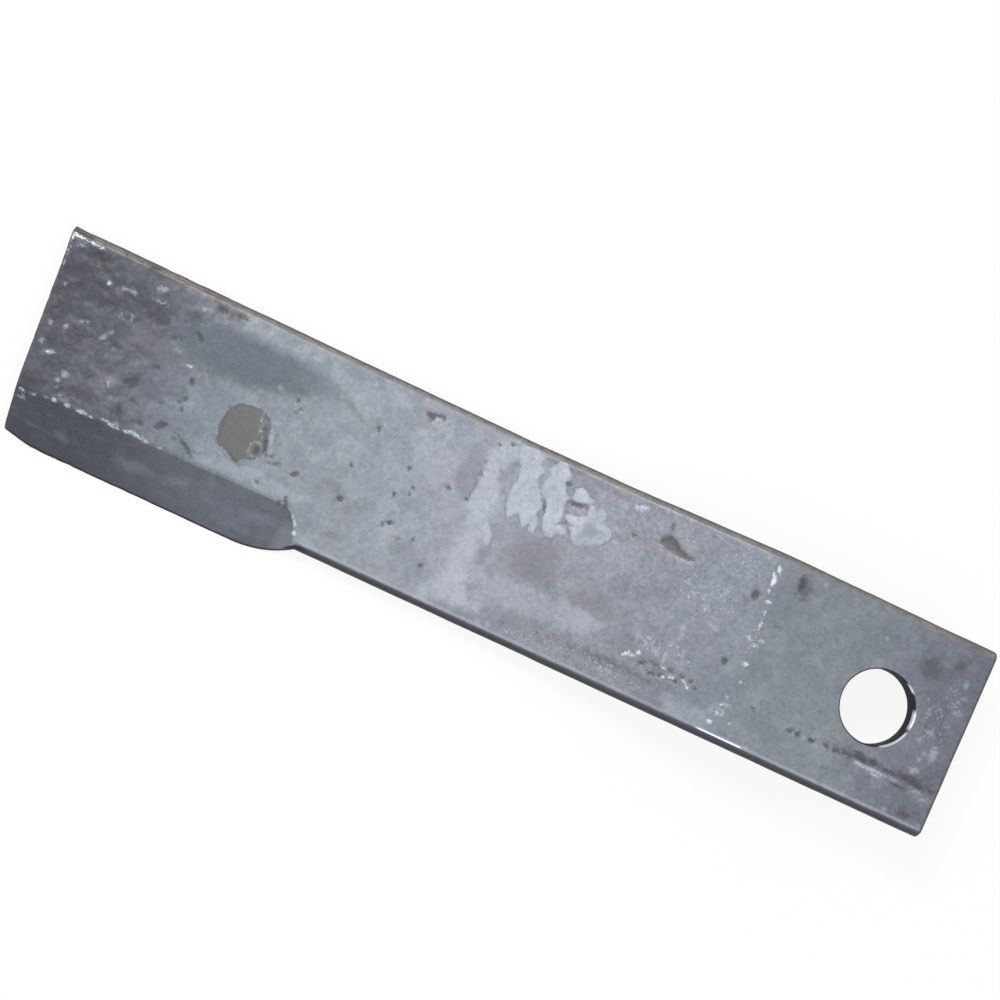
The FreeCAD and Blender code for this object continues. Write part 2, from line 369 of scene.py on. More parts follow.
# Marks on the top of the blade, in millimetres from the middle of the pivot hole. Patches are
# outlines; spots are x, y, half length, half width, turn in degrees; rings end with a line width.
marks = {
    "pale": {
        "patches": [
            [(214, -46), (206, -48), (200, -46), (201, -41), (198, -38),
             (200, -33), (197, -30), (195, -27), (193, -24), (191, -22), (193, -18), (194, -14),
             (195, -9), (197, -8), (199, -11), (201, -14), (203, -13), (205, -8.5), (207, -12),
             (209, -17), (209.5, -23), (208.5, -30), (210, -37), (213, -41)],
            [(214, -4), (211, -1), (209, 2), (208, 7), (210, 9), (212, 5), (214.5, 1)],
            [(193, -46), (189, -47.5), (186, -44), (184, -42), (186, -38), (184, -34),
             (181, -31), (182, -27), (180.5, -22), (180, -18), (176, -15.5), (175, -14),
             (177, -13), (180, -12.5), (181, -9), (184, -9), (187, -12), (189, -17),
             (190, -23), (192, -26.5), (196, -29), (195.5, -34), (194, -38), (196, -41)],
            [(193, -17), (194, -11), (192.5, -7.5), (190.5, -8), (190, -12), (191.5, -16)],
            [(180, -37), (177, -39), (174, -38), (172, -36), (169, -36), (168, -34.5),
             (171, -33), (174, -32), (177, -31), (180, -32.5), (179, -35)],
            [(180, -23), (177, -24), (172, -25), (169, -27), (170, -30), (170, -33),
             (168, -33), (166, -31), (164, -33.5), (161, -32.5), (160, -29), (161, -27),
             (157, -26), (154, -23), (154.5, -20), (157, -17), (161, -14), (166, -12),
             (169, -11), (172, -13), (173, -16), (175, -18), (171, -20), (176, -19.5)],
        ],
        "spots": [(146, -42, 4, 1.6, 30)],
    },
    "milky": {
        "patches": [
            [(227, -38), (224, -45), (213, -46), (212, -40), (217, -35), (218, -24), (212, -18),
             (213.5, -9), (214, -2), (211, 3), (213, 12), (212, 17), (213, 24), (210, 30),
             (207, 36), (200, 38), (200, 42), (232, 42), (229, 36), (224, 30), (226, 18),
             (223, 8), (225, 0), (227, -9)],
        ],
    },
    "veil": {
        "patches": [
            [(362, 29), (340, 24), (325, 20), (325, 27), (345, 32), (362, 32)],
            [(238, -30), (262, -30), (262, -14), (246, -8), (240, -14)],
            [(196, 19), (150, 18), (138, 20), (146, 27), (160, 31), (205, 34), (206, 24)],
        ],
        "spots": [(316, 27, 14, 3, 0), (86, 42, 14, 4, 0), (254, 44, 26, 2, 0),
                  (348, -40, 2.6, 1.2, 20), (353, -42, 3.5, 1.5, 60), (363, -42, 3, 1.6, 50),
                  (335, -42, 5, 3.4, 0), (325, -42, 3, 3.4, 0), (278, -41, 6, 3.4, 0)],
    },
    "warm": {
        "spots": [(121, -26.9, 6, 0.8, 6), (260, -35.6, 1.8, 0.8, 0), (250.5, 21.4, 1, 1.4, 20),
                  (330, -48, 10, 1.6, 0), (384, -47, 20, 1.4, 0), (374, -40.5, 3, 0.8, 0)],
    },
    "umber": {
        "spots": [(374, -12.4, 10, 1.5, -6), (354, -14.6, 9, 1.3, -12), (338, -18.6, 6, 1, -28),
                  (324, -22.8, 9, 0.9, -16), (404, -12, 16, 5, 0), (300, -27, 6, 1, -30),
                  (185, -45.2, 20, 0.9, 0), (160, -44, 8, 1.5, 0), (140, -45, 6, 1.3, 0)],
    },
    # painted sheen patches on the bevel; the last spot is the rounded end wall catching the light
    "sheen": {
        "spots": [(386, 47, 7, 2.4, 0), (362, 44.5, 6, 1.6, 15), (346, 46.5, 6, 2.2, 0),
                  (336, 45.5, 4, 1.5, 0), (357, 42, 5, 0.8, 25), (424, 48.5, 2.4, 0.9, 0),
                  (330, 52, 8, 2, 0), (318, 44, 9, 3, 10), (301.5, 49, 5, 9, -25)],
    },
    "slate": {
        "patches": [
            [(398, -31), (384, -36), (370, -38), (350, -38), (335, -37), (320, -35), (310, -33),
             (300, -27), (314, -23), (325, -20), (336, -18), (350, -14), (368, -11),
             (382, -13), (394, -20)],
        ],
    },
    "brown": {
        "patches": [
            [(355, -1), (352, -4), (347, -6), (340, -6), (335, -4), (332, 0), (331.5, 5),
             (330, 9), (330.5, 14), (333, 18), (337, 20), (342, 24), (346, 21), (351, 19.5), (354, 18.5),
             (355, 15), (357, 10), (356, 4)],
        ],
    },
    "haze": {
        "patches": [
            [(196, 8), (194, 14), (188, 15), (183, 15.5), (176, 14), (171, 16), (170, 11),
             (172, 2), (178, -4), (190, -3), (196, 1)],
            [(163, 10), (161, 15), (152, 17), (142, 16), (139, 13), (141, 6), (150, 5),
             (158, 7)],
            [(144, 35), (130, 33), (112, 34), (108, 37), (120, 38), (140, 38)],
        ],
        "spots": [(249, 27, 5, 3, 0), (286, 18, 3, 2.2, 30), (144, -27, 4, 2, 0),
                  (281, 21, 4, 1.6, 50), (182, -2, 8, 5, 0), (292, 14, 5, 2, 0),
                  (281, 22, 2.4, 4, -20), (300, 17, 7, 1.6, 0), (416, 13, 7, 4, 0),
                  (284, 43.5, 3, 1.6, 0), (268.5, 43.5, 2, 1.6, 0), (261, 43, 1.6, 1.6, 0),
                  (255, 43, 1.6, 1.8, 0), (262, 35, 1.6, 1, 0), (280, 36, 4, 1.6, 0),
                  (235, 33, 1.6, 4, 0), (220, 44.5, 2, 1, 0), (165, 39, 3, 1.6, 0),
                  (150, 43, 3, 1.6, 0), (178, 37, 3, 1, 0), (205, 41, 2, 2, 0),
                  (120, 41, 4, 1.4, 0), (138, 44, 4, 1.2, 0)],
    },
    "band": {
        "patches": [
            [(237, -36), (233, -38), (228, -36), (226.5, -30), (226.5, -8), (230, -7),
             (235, -10), (238, -18), (236, -28)],
        ],
    },
    "pit": {
        "patches": [
            [(131, -31), (130, -34), (127, -35.5), (124, -34), (120, -31), (117, -29.5),
             (114.5, -29), (113, -30.5), (112.5, -28), (115, -26.8), (120, -27), (126, -28),
             (131, -29.5)],
            [(265.5, -40.5), (264, -41.5), (261, -42), (256, -42.8), (254, -41), (254.6, -39.6),
             (256.4, -40.8), (259, -40.4), (259.6, -38), (261, -36.6), (263, -38.4)],
        ],
        "spots": [(79, -25, 1.8, 2.4, 20), (-29, 25.6, 5, 1.8, 0), (-34, 42.5, 2.6, 1.1, 20),
                  (251.5, 24, 1, 0.9, 0), (286, 18, 2, 1.4, 30), (379, -43, 2.2, 1.6, 0),
                  (369, -44, 2.4, 1, 0), (446, -40, 1.6, 3.2, 30), (144, -27.5, 1.1, 1, 0)],
    },
    "dent": {
        "spots": [(79.5, 11.5, 1.6, 2.2, 30), (326, -18, 1.2, 1.1, 0),
                  (324, -13, 0.7, 3.4, -30), (283, -22, 0.8, 1.8, 10), (261, -11, 1.3, 1.1, 0),
                  (288, 0, 1.3, 1, 20), (255, -2.5, 1, 1, 0), (262.5, 4.5, 0.9, 1.3, 20),
                  (312, 16.5, 2, 1.2, 30), (322, 15.5, 2.2, 1, 25), (326, 13, 1.4, 0.9, 30),
                  (258, 18, 2, 1.2, 40), (261, 20, 0.8, 1.2, 20),
                  (327, 28, 1.5, 0.9, 0), (310, 31, 1, 3, 20), (255.5, 0.5, 0.8, 1, 0),
                  (313, 33, 0.8, 2, 0), (239, -10.5, 1.6, 1.1, 0), (218, -44.5, 1.3, 1, 0),
                  (224, -41.5, 1.1, 0.7, 0), (227, -24, 0.8, 1.4, 0), (235, 31, 1.2, 1, 0),
                  (227, -31, 0.5, 2, 0), (227, -14, 0.5, 3, 0), (228, -9.5, 1, 0.7, 0),
                  (244, 21, 0.8, 1.2, 0), (382, 22, 2.8, 2, 20), (384, 24.5, 1.4, 1, 0),
                  (392, 26, 1.9, 1.4, 0), (400.5, 17, 1.5, 1, 0), (378, -4, 1.4, 1.8, 30),
                  (377, 5, 1.5, 1.6, 0), (379, 8, 1, 1, 0), (376.5, 11, 0.8, 1.8, 20),
                  (368, 26.6, 5, 0.9, -33), (365.5, 27.6, 4.4, 0.8, -36), (374, 26, 1.2, 0.9, 0),
                  (387, 12.5, 1.6, 0.8, 0), (395, -20, 1.6, 1.2, 40), (391.5, -21, 1, 1, 0),
                  (384, -26, 1.2, 2.6, 40), (128, -39, 0.8, 2.2, 10), (390, -34, 3, 0.8, 40),
                  (184, -38, 1.8, 1.1, 20), (109.5, 27, 2.3, 0.9, 0), (115, 29, 2.2, 1.3, 30),
                  (109, 32, 2.4, 0.9, 0), (101, 26.5, 1.3, 1.1, 0), (95, 27, 1.6, 1.1, 0),
                  (90, 27.5, 1.3, 1, 0), (97, 30.5, 1.5, 1.1, 0), (105, 31, 1.5, 1.1, 0),
                  (87, 30, 1, 1, 0), (36, 29, 1.9, 1.2, 20), (31.5, 29, 1.4, 1.5, 0),
                  (24, 29, 2, 1.3, 0), (10, 28.3, 2.6, 1.1, 0), (5, 27.4, 2.8, 1.2, 0),
                  (-3, 26.8, 4, 1.2, 0), (-9, 25.8, 3, 1.5, 0), (-36, 27.2, 3, 1.1, 0),
                  (-25, 31.4, 4, 0.9, 0), (-1, 25, 3, 1.2, 0), (-19, 26.6, 4, 1, 0),
                  (-42, 27, 1.3, 0.9, 0), (57, 27, 1.5, 0.8, 0), (16, 28, 2.2, 0.9, 0),
                  (12.5, 38.5, 1.4, 0.7, 0), (4.5, 37.5, 1.2, 0.6, 0), (452, -28, 3, 3, 0),
                  (431, -22, 2.6, 1.6, 0), (428, -20, 1, 2, 0), (450, -4, 2.2, 2.2, 0),
                  (419, -4, 2.6, 1.4, 0), (436, 29, 3.6, 1, 40), (451, 31, 3.4, 2.4, 0),
                  (60, -40, 1.6, 4, 10), (176, -30, 5, 1.3, 8), (190.5, -22, 0.7, 3, 20),
                  (179, -18.5, 2.4, 0.6, 30), (404, 26, 1.2, 3, 30), (441, -28, 2, 1.4, 0),
                  (434, -26.5, 2.2, 1.4, 0), (397, -3, 1.4, 1, 0), (407, 10, 1.6, 1.8, 0),
                  (403, 7, 1, 1, 0), (418, 23, 3, 0.7, -30), (415, 17, 2.4, 0.6, -50),
                  (398, 28, 4, 0.6, 30), (355, 8, 0.4, 6, 5),
                  (343, 22, 3, 0.5, -30), (335, 2, 1.4, 1, 0), (334, 14, 1.6, 2.6, 0),
                  (332, 8, 1.2, 2.2, 30),
                  (330, 12, 0.8, 3, 25), (328, 4, 0.6, 2, 0), (326.5, 17, 1.4, 0.6, 30),
                  (447, -39, 4, 3, 20), (456, -27, 3, 2.6, 0), (438, -27, 5, 1.7, 10),
                  (430, -22, 3, 1.6, 0), (403, -24, 3, 1.2, 20), (444, 14, 3, 1, 30),
                  (425, 16, 2, 1, 40), (410, -8, 2.4, 0.8, 20)],
    },
    "smudge": {
        "spots": [(-18, -29, 5.4, 4.6, 0), (-31, -37, 3, 4, 0), (455, -28, 7, 5, 0),
                  (446, -40, 8, 5, 20), (452, -33, 8, 6, 0), (434, -26, 11, 3, 0),
                  (412, -28, 8, 4, 0), (437, -3, 7, 3, 0), (452, -15, 4, 8, 0),
                  (441, 18, 8, 2, 20), (448, 29, 6, 5, 0), (425, 26, 6, 3, 0),
                  (405, 26, 3, 4, 0), (376, -43, 8, 3, 0),
                  (58, -38, 4, 6, 0), (-30, 26, 10, 3, 0), (130, 36, 16, 2, 0),
                  (-5, 26.4, 13, 1.8, 0), (-17.5, -29, 6, 5.5, 0),
                  (446, -38, 7, 5, 0), (456, -27, 5, 5, 0), (431, -22, 4, 2.4, 0),
                  (450, 31, 6, 4, 0), (444, -1, 2, 5, 40), (-34, 42.5, 4, 2, 0),
                  (416, -31, 12, 4, 0), (441, 6, 4, 3, 0),
                  (404, 9, 3, 4, 0), (450, 6, 3, 5, 0), (389, -33, 3, 4, 20)],
    },
    "fleck": {
        "spots": [(106, -13, 1.2, 0.8, 0), (108, -11, 0.8, 1, 0), (101, -13, 0.9, 0.9, 0),
                  (104, 5, 0.7, 2, 10), (103, 9, 0.7, 1.6, 0), (111, 21, 1.2, 0.7, 30),
                  (106.5, 21, 0.6, 1.8, 0), (96, 20, 1.6, 0.7, 30), (99, 18, 1.2, 1, 0),
                  (122, 18, 0.6, 2.4, 0), (117, 18, 0.5, 2.2, 0), (114, 18, 0.5, 1.8, 0),
                  (92, -21, 0.6, 2, 0), (110, -17, 1.4, 0.8, 0), (104, -18, 1.2, 1, 0),
                  (436, -31, 1.1, 1.1, 0), (428, -32, 1.8, 0.7, 20), (423, -32, 1.1, 0.7, 0),
                  (409, -33.5, 2, 0.5, 0), (391, -15, 1.2, 0.5, 0), (382, -10.5, 1.3, 0.9, 0),
                  (440, -8, 1.2, 0.6, 30), (437, -9, 0.8, 0.8, 0), (425, -9, 1.2, 0.8, 50),
                  (427, -5.5, 1, 1.5, -40), (446, -2, 1, 1, 0), (448, 13, 2.0, 0.9, 30),
                  (436, 19.5, 1.8, 1.6, 40), (438, 24, 1, 0.8, 0), (434, 29, 0.7, 0.8, 0),
                  (415, 15, 0.5, 1.3, 20), (411, 20.5, 0.7, 0.6, 0), (454, -1, 1.2, 1.2, 0),
                  (454, 9, 1.2, 1, 0), (403, 31, 1.2, 0.8, 0), (456, -21.5, 1, 0.7, 0),
                  (437, 27.5, 0.6, 0.6, 0), (456, -43, 1.6, 0.6, 30), (411, -40, 2, 1, 20),
                  (388, -40, 2.4, 0.8, 10), (330, 5, 0.7, 3, 25), (327, 12, 0.6, 3, 15),
                  (338, 0, 0.5, 2.6, 15), (331, -3, 1.6, 0.5, 30),
                  (112, -5, 0.5, 0.5, 0), (133, 40.5, 1.4, 1, 0), (139, 38, 1, 0.8, 0),
                  (197, 45, 1.2, 2, 40), (192, 44, 0.8, 1.4, 20), (180, 43, 1, 1, 0),
                  (92, -2, 0.8, 0.8, 0), (89.5, -1.5, 0.8, 0.9, 0), (128, 40, 1, 0.9, 0),
                  (-37, -29, 1.4, 2, 0), (-39, -22, 1.2, 0.9, 0), (-35, -17, 1, 0.9, 0),
                  (-38, -14, 2, 1, 0), (-22, -14, 1, 0.8, 0), (-37, -6, 1, 0.8, 0),
                  (-30, 0.5, 2.2, 1.5, 0), (-35.5, 10, 1.8, 4, 0), (-31, 11, 0.9, 1.4, 0),
                  (-30, 15, 0.8, 1.2, 0), (-26, 6, 1.2, 1.2, 0), (-30, 21, 2.4, 1.2, 20),
                  (38, 28.5, 1.4, 0.8, 20), (34, 30, 1.2, 0.8, 0), (28, 29, 1.2, 1, 0),
                  (22, 30.5, 1.4, 0.8, 0), (16.5, 29.5, 1, 0.9, 0), (-35, 30, 2.6, 0.8, 0),
                  (-40, 32.5, 3, 1, 10), (-20, 29.4, 3.4, 0.6, 0), (9.5, -33.5, 0.8, 0.7, 0),
                  (49, -44.5, 1.4, 0.9, 20), (80, -45, 1, 1, 0), (153, -27, 0.9, 0.9, 0),
                  (337, -20, 1, 1, 0), (-24, 45, 1, 0.8, 0), (-43, 45, 1, 0.8, 0),
                  (53, 46, 1.4, 0.5, 0), (22.5, -46, 0.9, 0.9, 0)],
        "rings": [(421, -19.5, 3, 2.4, 25, 0.0), (-28, -10, 3.4, 3, 0, 0.2),
                  (335.5, 13.5, 2.8, 4, 0, 0.3), (333.5, 3, 2.6, 4.4, 10, 0.0),
                  (73, 35.5, 3, 1.8, 0, 0.5)],
    },
    "glint": {
        "spots": [(73.4, -41.5, 0.7, 1.6, 18), (73.6, -35, 1, 2.4, -8), (74.6, -38, 0.5, 1, 30),
                  (72, -24.5, 1.3, 0.6, 15), (69.6, 8.3, 1.3, 0.9, 0), (74.3, 41.5, 1.1, 0.8, 20),
                  (124, 28, 1.8, 0.6, 45), (118.5, 25, 0.9, 0.7, 30),
                  (301.5, 38.8, 0.6, 1.3, 35), (299.6, 43.4, 1, 1.1, 0),
                  (459.5, -46.2, 2.6, 0.5, 0), (462.4, -44, 0.5, 2, 0), (461, -31, 0.6, 1.2, 0)],
    },
    # chips: partly flaked scale, partly painted glints along the tight bend, the bevel border, the scored
    # line and the tip corner
    "chipAndGlint": {
        "spots": [(71.5, -19, 0.6, 1.2, 0), (71, -12, 0.5, 2.6, 0), (73, -4, 1.3, 0.6, -12),
                  (67.5, -5, 1.5, 0.5, 20), (69.5, -1.5, 1.4, 0.5, 10), (68.5, 17.5, 0.9, 0.7, 0),
                  (71.5, 27, 0.9, 0.9, 0), (72, 31.5, 1.2, 0.7, 40), (69, 31, 0.6, 1.1, 0),
                  (67, 31.5, 0.5, 0.9, 0), (65, 38.5, 0.7, 0.5, 0), (120.5, 27.5, 1, 0.5, 20),
                  (104.5, 27, 0.9, 0.6, 0), (99, 29.5, 1.1, 0.7, 0), (93, 29, 0.7, 0.7, 0),
                  (103, 31, 0.8, 0.7, 0), (90.5, 31, 0.6, 0.8, 0), (451, -45.6, 4, 0.5, 0),
                  (461.6, -38, 0.5, 1.6, 0), (74, -29.5, 0.6, 0.9, 0), (72.5, 36, 2, 0.6, 10),
                  (303.5, 36.4, 1.2, 0.5, -30), (-8.5, 29.6, 6, 0.9, 0), (-13, 31, 2, 0.7, 0),
                  (-3, 29.2, 2.4, 0.8, 0), (452, 35.6, 1.4, 0.7, 0), (446, 35, 1.5, 0.7, 20),
                  (440, 34.2, 1.4, 0.5, 10), (435.5, 33.6, 1.3, 0.9, 0),
                  (428.3, 33.2, 1.4, 0.8, 0), (420.5, 33.2, 2.8, 0.8, 0),
                  (405, 32.8, 3.2, 0.7, -10), (391.5, 32.2, 3.6, 0.7, -5),
                  (396.5, 33, 1.2, 0.5, 0), (386, 33, 1.4, 0.7, 0), (378.5, 33.4, 0.9, 0.6, 0),
                  (415.5, 33.5, 0.9, 0.5, 0), (451, 39, 2.2, 0.5, 0), (98, -8, 0.5, 1, 0),
                  (436, -31, 0.8, 0.7, 0), (448, 12.8, 1.2, 0.5, 30), (382, -10.5, 0.9, 0.6, 0)],
    },
}

# Places where the scale is speckled: x, y, half length, half width; the narrow band across the tight bend
# at x 71 is its sparkle, partly flaked scale and partly painted glints
speckled = [(100, -14, 20, 13), (105, 20, 19, 8), (95, 29, 14, 5), (150, 41, 56, 7),
            (-32, -8, 10, 22), (118, -38, 12, 6), (71, 0, 3, 44), (90, -36, 16, 8)]

fieldReach = 6.0


# Distance in millimetres inside an outline, less than nothing outside
def patchField(x, y, outline):
    nearest = numpy.full(x.shape, 1e6)
    inside = numpy.zeros(x.shape, dtype=bool)
    for (x0, y0), (x1, y1) in zip(outline, outline[1:] + outline[:1]):
        dx = x1 - x0
        dy = y1 - y0
        along = numpy.clip(((x - x0) * dx + (y - y0) * dy) / (dx * dx + dy * dy), 0, 1)
        nearest = numpy.minimum(nearest, numpy.hypot(x - x0 - along * dx, y - y0 - along * dy))
        if dy != 0:
            crossing = x0 + (y - y0) * dx / dy
            inside ^= ((y0 > y) != (y1 > y)) & (x < crossing)
    return numpy.where(inside, nearest, -nearest)


def spotField(x, y, spot):
    angle = math.radians(spot[4])
    across = ((x - spot[0]) * math.cos(angle) + (y - spot[1]) * math.sin(angle)) / spot[2]
    up = ((y - spot[1]) * math.cos(angle) - (x - spot[0]) * math.sin(angle)) / spot[3]
    return (1 - numpy.hypot(across, up)) * min(spot[2], spot[3])


def markField(x, y, mark):
    field = numpy.full(x.shape, -fieldReach)
    for outline in mark.get("patches", []):
        field = numpy.maximum(field, patchField(x, y, outline))
    for spot in mark.get("spots", []):
        field = numpy.maximum(field, spotField(x, y, spot))
    for ring in mark.get("rings", []):
        field = numpy.maximum(field, ring[5] - numpy.abs(spotField(x, y, ring)))
    return numpy.clip(field, -fieldReach, fieldReach)


def places(piece):
    coords = numpy.empty(len(piece.data.vertices) * 3)
    piece.data.vertices.foreach_get("co", coords)
    return coords.reshape(-1, 3)


def facing(piece):
    normals = numpy.empty(len(piece.data.vertices) * 3)
    piece.data.vertices.foreach_get("normal", normals)
    return normals.reshape(-1, 3)


def saveField(piece, name, values):
    attribute = piece.data.attributes.new(name, "FLOAT", "POINT")
    attribute.data.foreach_set("value", values.astype(numpy.float32))


def markBlade(piece):
    spots = places(piece)
    x = spots[:, 0] / mm
    y = spots[:, 1] / mm
    top = facing(piece)[:, 2] > 0.2
    for name, mark in marks.items():
        field = numpy.where(top, markField(x, y, mark), -fieldReach)
        saveField(piece, name, field)
    speckle = numpy.full(x.shape, -1.0)
    for px, py, rx, ry in speckled:
        speckle = numpy.maximum(speckle, 1 - numpy.hypot((x - px) / rx, (y - py) / ry))
    saveField(piece, "speckle", numpy.where(top, speckle, -1.0))
    edge = numpy.array([edgeY(px * mm) / mm if px > 295.5 else 50.8 for px in x])
    outer = numpy.maximum(edge, 50.8)
    saveField(piece, "leading", y - outer)
    saveField(piece, "trailing", -50.8 - y)
    tipPlane = offset["tip"] / mm - y * math.tan(offset["tipSkew"])
    saveField(piece, "sheared", numpy.maximum(x - tipPlane, -46.0 - x))
    reach = numpy.hypot(x, y)
    inside = hole["radius"] / mm + 0.6 - reach
    saveField(piece, "bore", numpy.clip(inside, -2.0, 2.0))
    foot = (offset["tip"] - forging["length"]) / mm
    heights = numpy.array([bevelHeight(px * mm, py * mm) / mm for px, py in zip(x, y)])
    depth = numpy.where((x > foot) & (y > 0) & top, 12.7 - heights, -1.0)
    saveField(piece, "bevel", numpy.clip(depth, -1, 12))
    print("blade marked")


wear = {
    "pitDepth": 0.3 * mm,
    "glintDepth": 0.12 * mm,
    "hammerDepth": 0.5 * mm,
    "dentDepth": 0.16 * mm,
    "flakeDepth": 0.35 * mm,
    "rollDepth": 0.25 * mm,
    "edgeDepth": 0.14 * mm,
}


# Sinks pits, hammer marks and the uneven long edges into the surface
def wearBlade(piece):
    spots = places(piece)
    normals = facing(piece)
    pits = numpy.empty(len(piece.data.vertices))
    piece.data.attributes["pit"].data.foreach_get("value", pits)
    dents = numpy.empty(len(piece.data.vertices))
    piece.data.attributes["dent"].data.foreach_get("value", dents)
    glints = numpy.empty(len(piece.data.vertices))
    piece.data.attributes["glint"].data.foreach_get("value", glints)
    sunk = []
    for place, normal, pit, dent, glint in zip(spots, normals, pits, dents, glints):
        point = Vector(place)
        x = place[0] / mm
        depth = wear["pitDepth"] * min(max(pit + 0.6, 0), 1.6) / 1.6
        depth += wear["dentDepth"] * min(max(dent + 0.6, 0), 1.4) / 1.4
        depth += wear["glintDepth"] * min(max(glint + 0.8, 0), 1)
        hammered = min(max((x - 355) / 60, 0), 1)
        depth += wear["hammerDepth"] * hammered * max(noise.noise(point * 130), 0)
        depth += wear["flakeDepth"] * hammered * max(noise.noise(point * 420) - 0.15, 0)
        depth += wear["rollDepth"] * max(noise.noise(point * 36), 0)
        if abs(normal[1]) > 0.5:
            depth += wear["edgeDepth"] * max(noise.noise(point * 90), 0)
        sunk.append(-depth)
    push(piece, "NORMAL", sunk)
    print("blade worn")


# Small helpers for laying out shader nodes
def addNode(tree, kind, **values):
    node = tree.nodes.new("ShaderNode" + kind)
    for name, value in values.items():
        setattr(node, name, value)
    return node


def feed(tree, socket, source):
    if isinstance(source, (int, float)):
        socket.default_value = source
    elif isinstance(source, tuple):
        socket.default_value = source if len(source) == 4 else source + (1,)
    else:
        tree.links.new(source, socket)


def calculate(tree, operation, first, second=0.0):
    node = addNode(tree, "Math", operation=operation)
    feed(tree, node.inputs[0], first)
    feed(tree, node.inputs[1], second)
    return node.outputs[0]


def remap(tree, source, low, high, lowOut=0.0, highOut=1.0):
    node = addNode(tree, "MapRange", interpolation_type="SMOOTHSTEP")
    feed(tree, node.inputs["Value"], source)
    node.inputs["From Min"].default_value = low
    node.inputs["From Max"].default_value = high
    node.inputs["To Min"].default_value = lowOut
    node.inputs["To Max"].default_value = highOut
    return node.outputs["Result"]


def mixColour(tree, factor, under, over, blend="MIX"):
    node = addNode(tree, "Mix", data_type="RGBA", blend_type=blend)
    feed(tree, node.inputs[0], factor)
    feed(tree, node.inputs[6], under)
    feed(tree, node.inputs[7], over)
    return node.outputs[2]


def field(tree, name):
    return addNode(tree, "Attribute", attribute_name=name).outputs["Fac"]


def noiseAt(tree, place, scale, detail=3.0, roughness=0.6, distortion=0.0):
    node = addNode(tree, "TexNoise")
    tree.links.new(place, node.inputs["Vector"])
    node.inputs["Scale"].default_value = scale
    node.inputs["Detail"].default_value = detail
    node.inputs["Roughness"].default_value = roughness
    node.inputs["Distortion"].default_value = distortion
    return node.outputs["Fac"]


# A mark's cover, with its border shifted by noise and softened over a few tenths of a millimetre
def cover(tree, name, wobble, ragged, soft):
    shift = calculate(tree, "MULTIPLY", calculate(tree, "SUBTRACT", wobble, 0.5), ragged)
    return remap(tree, calculate(tree, "ADD", field(tree, name), shift), -soft, soft)


# One between two values of a coordinate and nothing outside them
def window(tree, source, low, high, soft):
    rise = remap(tree, source, low, low + soft)
    return calculate(tree, "MULTIPLY", rise, remap(tree, source, high, high - soft))


def remapLinear(tree, source, low, high):
    node = addNode(tree, "MapRange")
    feed(tree, node.inputs["Value"], source)
    node.inputs["From Min"].default_value = low
    node.inputs["From Max"].default_value = high
    return node.outputs["Result"]


def remapTo(tree, factor, under, over):
    node = addNode(tree, "Mix", data_type="FLOAT")
    feed(tree, node.inputs[0], factor)
    feed(tree, node.inputs[2], under)
    feed(tree, node.inputs[3], over)
    return node.outputs[0]


# Lays one mark's own colour over what is there, at a share of its cover
def layMark(tree, colour, name, wobble, ragged, soft, share):
    amount = calculate(tree, "MULTIPLY", cover(tree, name, wobble, ragged, soft), share)
    return mixColour(tree, amount, colour, steel[name])


steel = {
    # base tone along the blade: the scale's own tone, with a lighter middle from about x 0.165 to 0.275
    # that is partly painted sheen where the slope curves back to level
    "alongBlade": [
        (-0.046, (0.142, 0.154, 0.190)), (-0.020, (0.170, 0.184, 0.222)),
        (0.015, (0.205, 0.232, 0.262)), (0.060, (0.208, 0.234, 0.264)),
        (0.085, (0.180, 0.200, 0.232)), (0.130, (0.194, 0.208, 0.240)),
        (0.165, (0.222, 0.237, 0.272)), (0.200, (0.246, 0.264, 0.302)),
        (0.228, (0.285, 0.305, 0.352)), (0.250, (0.290, 0.315, 0.358)),
        (0.275, (0.262, 0.290, 0.326)), (0.310, (0.238, 0.272, 0.302)),
        (0.355, (0.200, 0.232, 0.262)), (0.380, (0.165, 0.184, 0.214)),
        (0.405, (0.120, 0.128, 0.153)), (0.462, (0.080, 0.085, 0.104)),
    ],
    "pale": (0.385, 0.415, 0.475),
    "paleCentre": (0.30, 0.325, 0.372),
    "milky": (0.40, 0.425, 0.48),
    "veil": (0.40, 0.425, 0.48),
    "warm": (1.34, 1.06, 0.98),
    "umber": (0.128, 0.122, 0.138),
    "sheen": (0.200, 0.212, 0.256),
    "slate": (0.094, 0.108, 0.132),
    "brown": (0.126, 0.125, 0.130),
    "haze": (0.168, 0.168, 0.180),
    "dent": (0.052, 0.056, 0.064),
    # the chip tone below is partly flaked scale and partly painted glint
    "chipAndGlint": (0.56, 0.60, 0.67),
    "band": (0.225, 0.238, 0.285),
    "pit": (0.044, 0.038, 0.038),
    "pitFloor": (0.070, 0.062, 0.062),
    "fleck": (0.34, 0.37, 0.42),
    "glint": (0.86, 0.88, 0.95),
    "smudge": (0.066, 0.065, 0.080),
    "smudgeTip": (0.040, 0.040, 0.050),
    "rust": (0.150, 0.118, 0.092),
    "tan": (0.29, 0.268, 0.240),
    # the two edge tones are painted shade on the rolled leading edge; the darker one also darkens the
    # trailing edge's outer rim
    "edge": (0.044, 0.046, 0.058),
    "edgeTop": (0.112, 0.120, 0.145),
    "bevel": (0.142, 0.156, 0.188),
    "bevelTip": (0.080, 0.086, 0.106),
    # bore: painted shade down the punched bore
    "bore": (0.014, 0.014, 0.020),
    "sheared": (0.085, 0.078, 0.066),
    "metallic": 0.5,
    "roughness": 0.5,
    "glintRoughness": 0.22,
    "bump": 0.35,
}


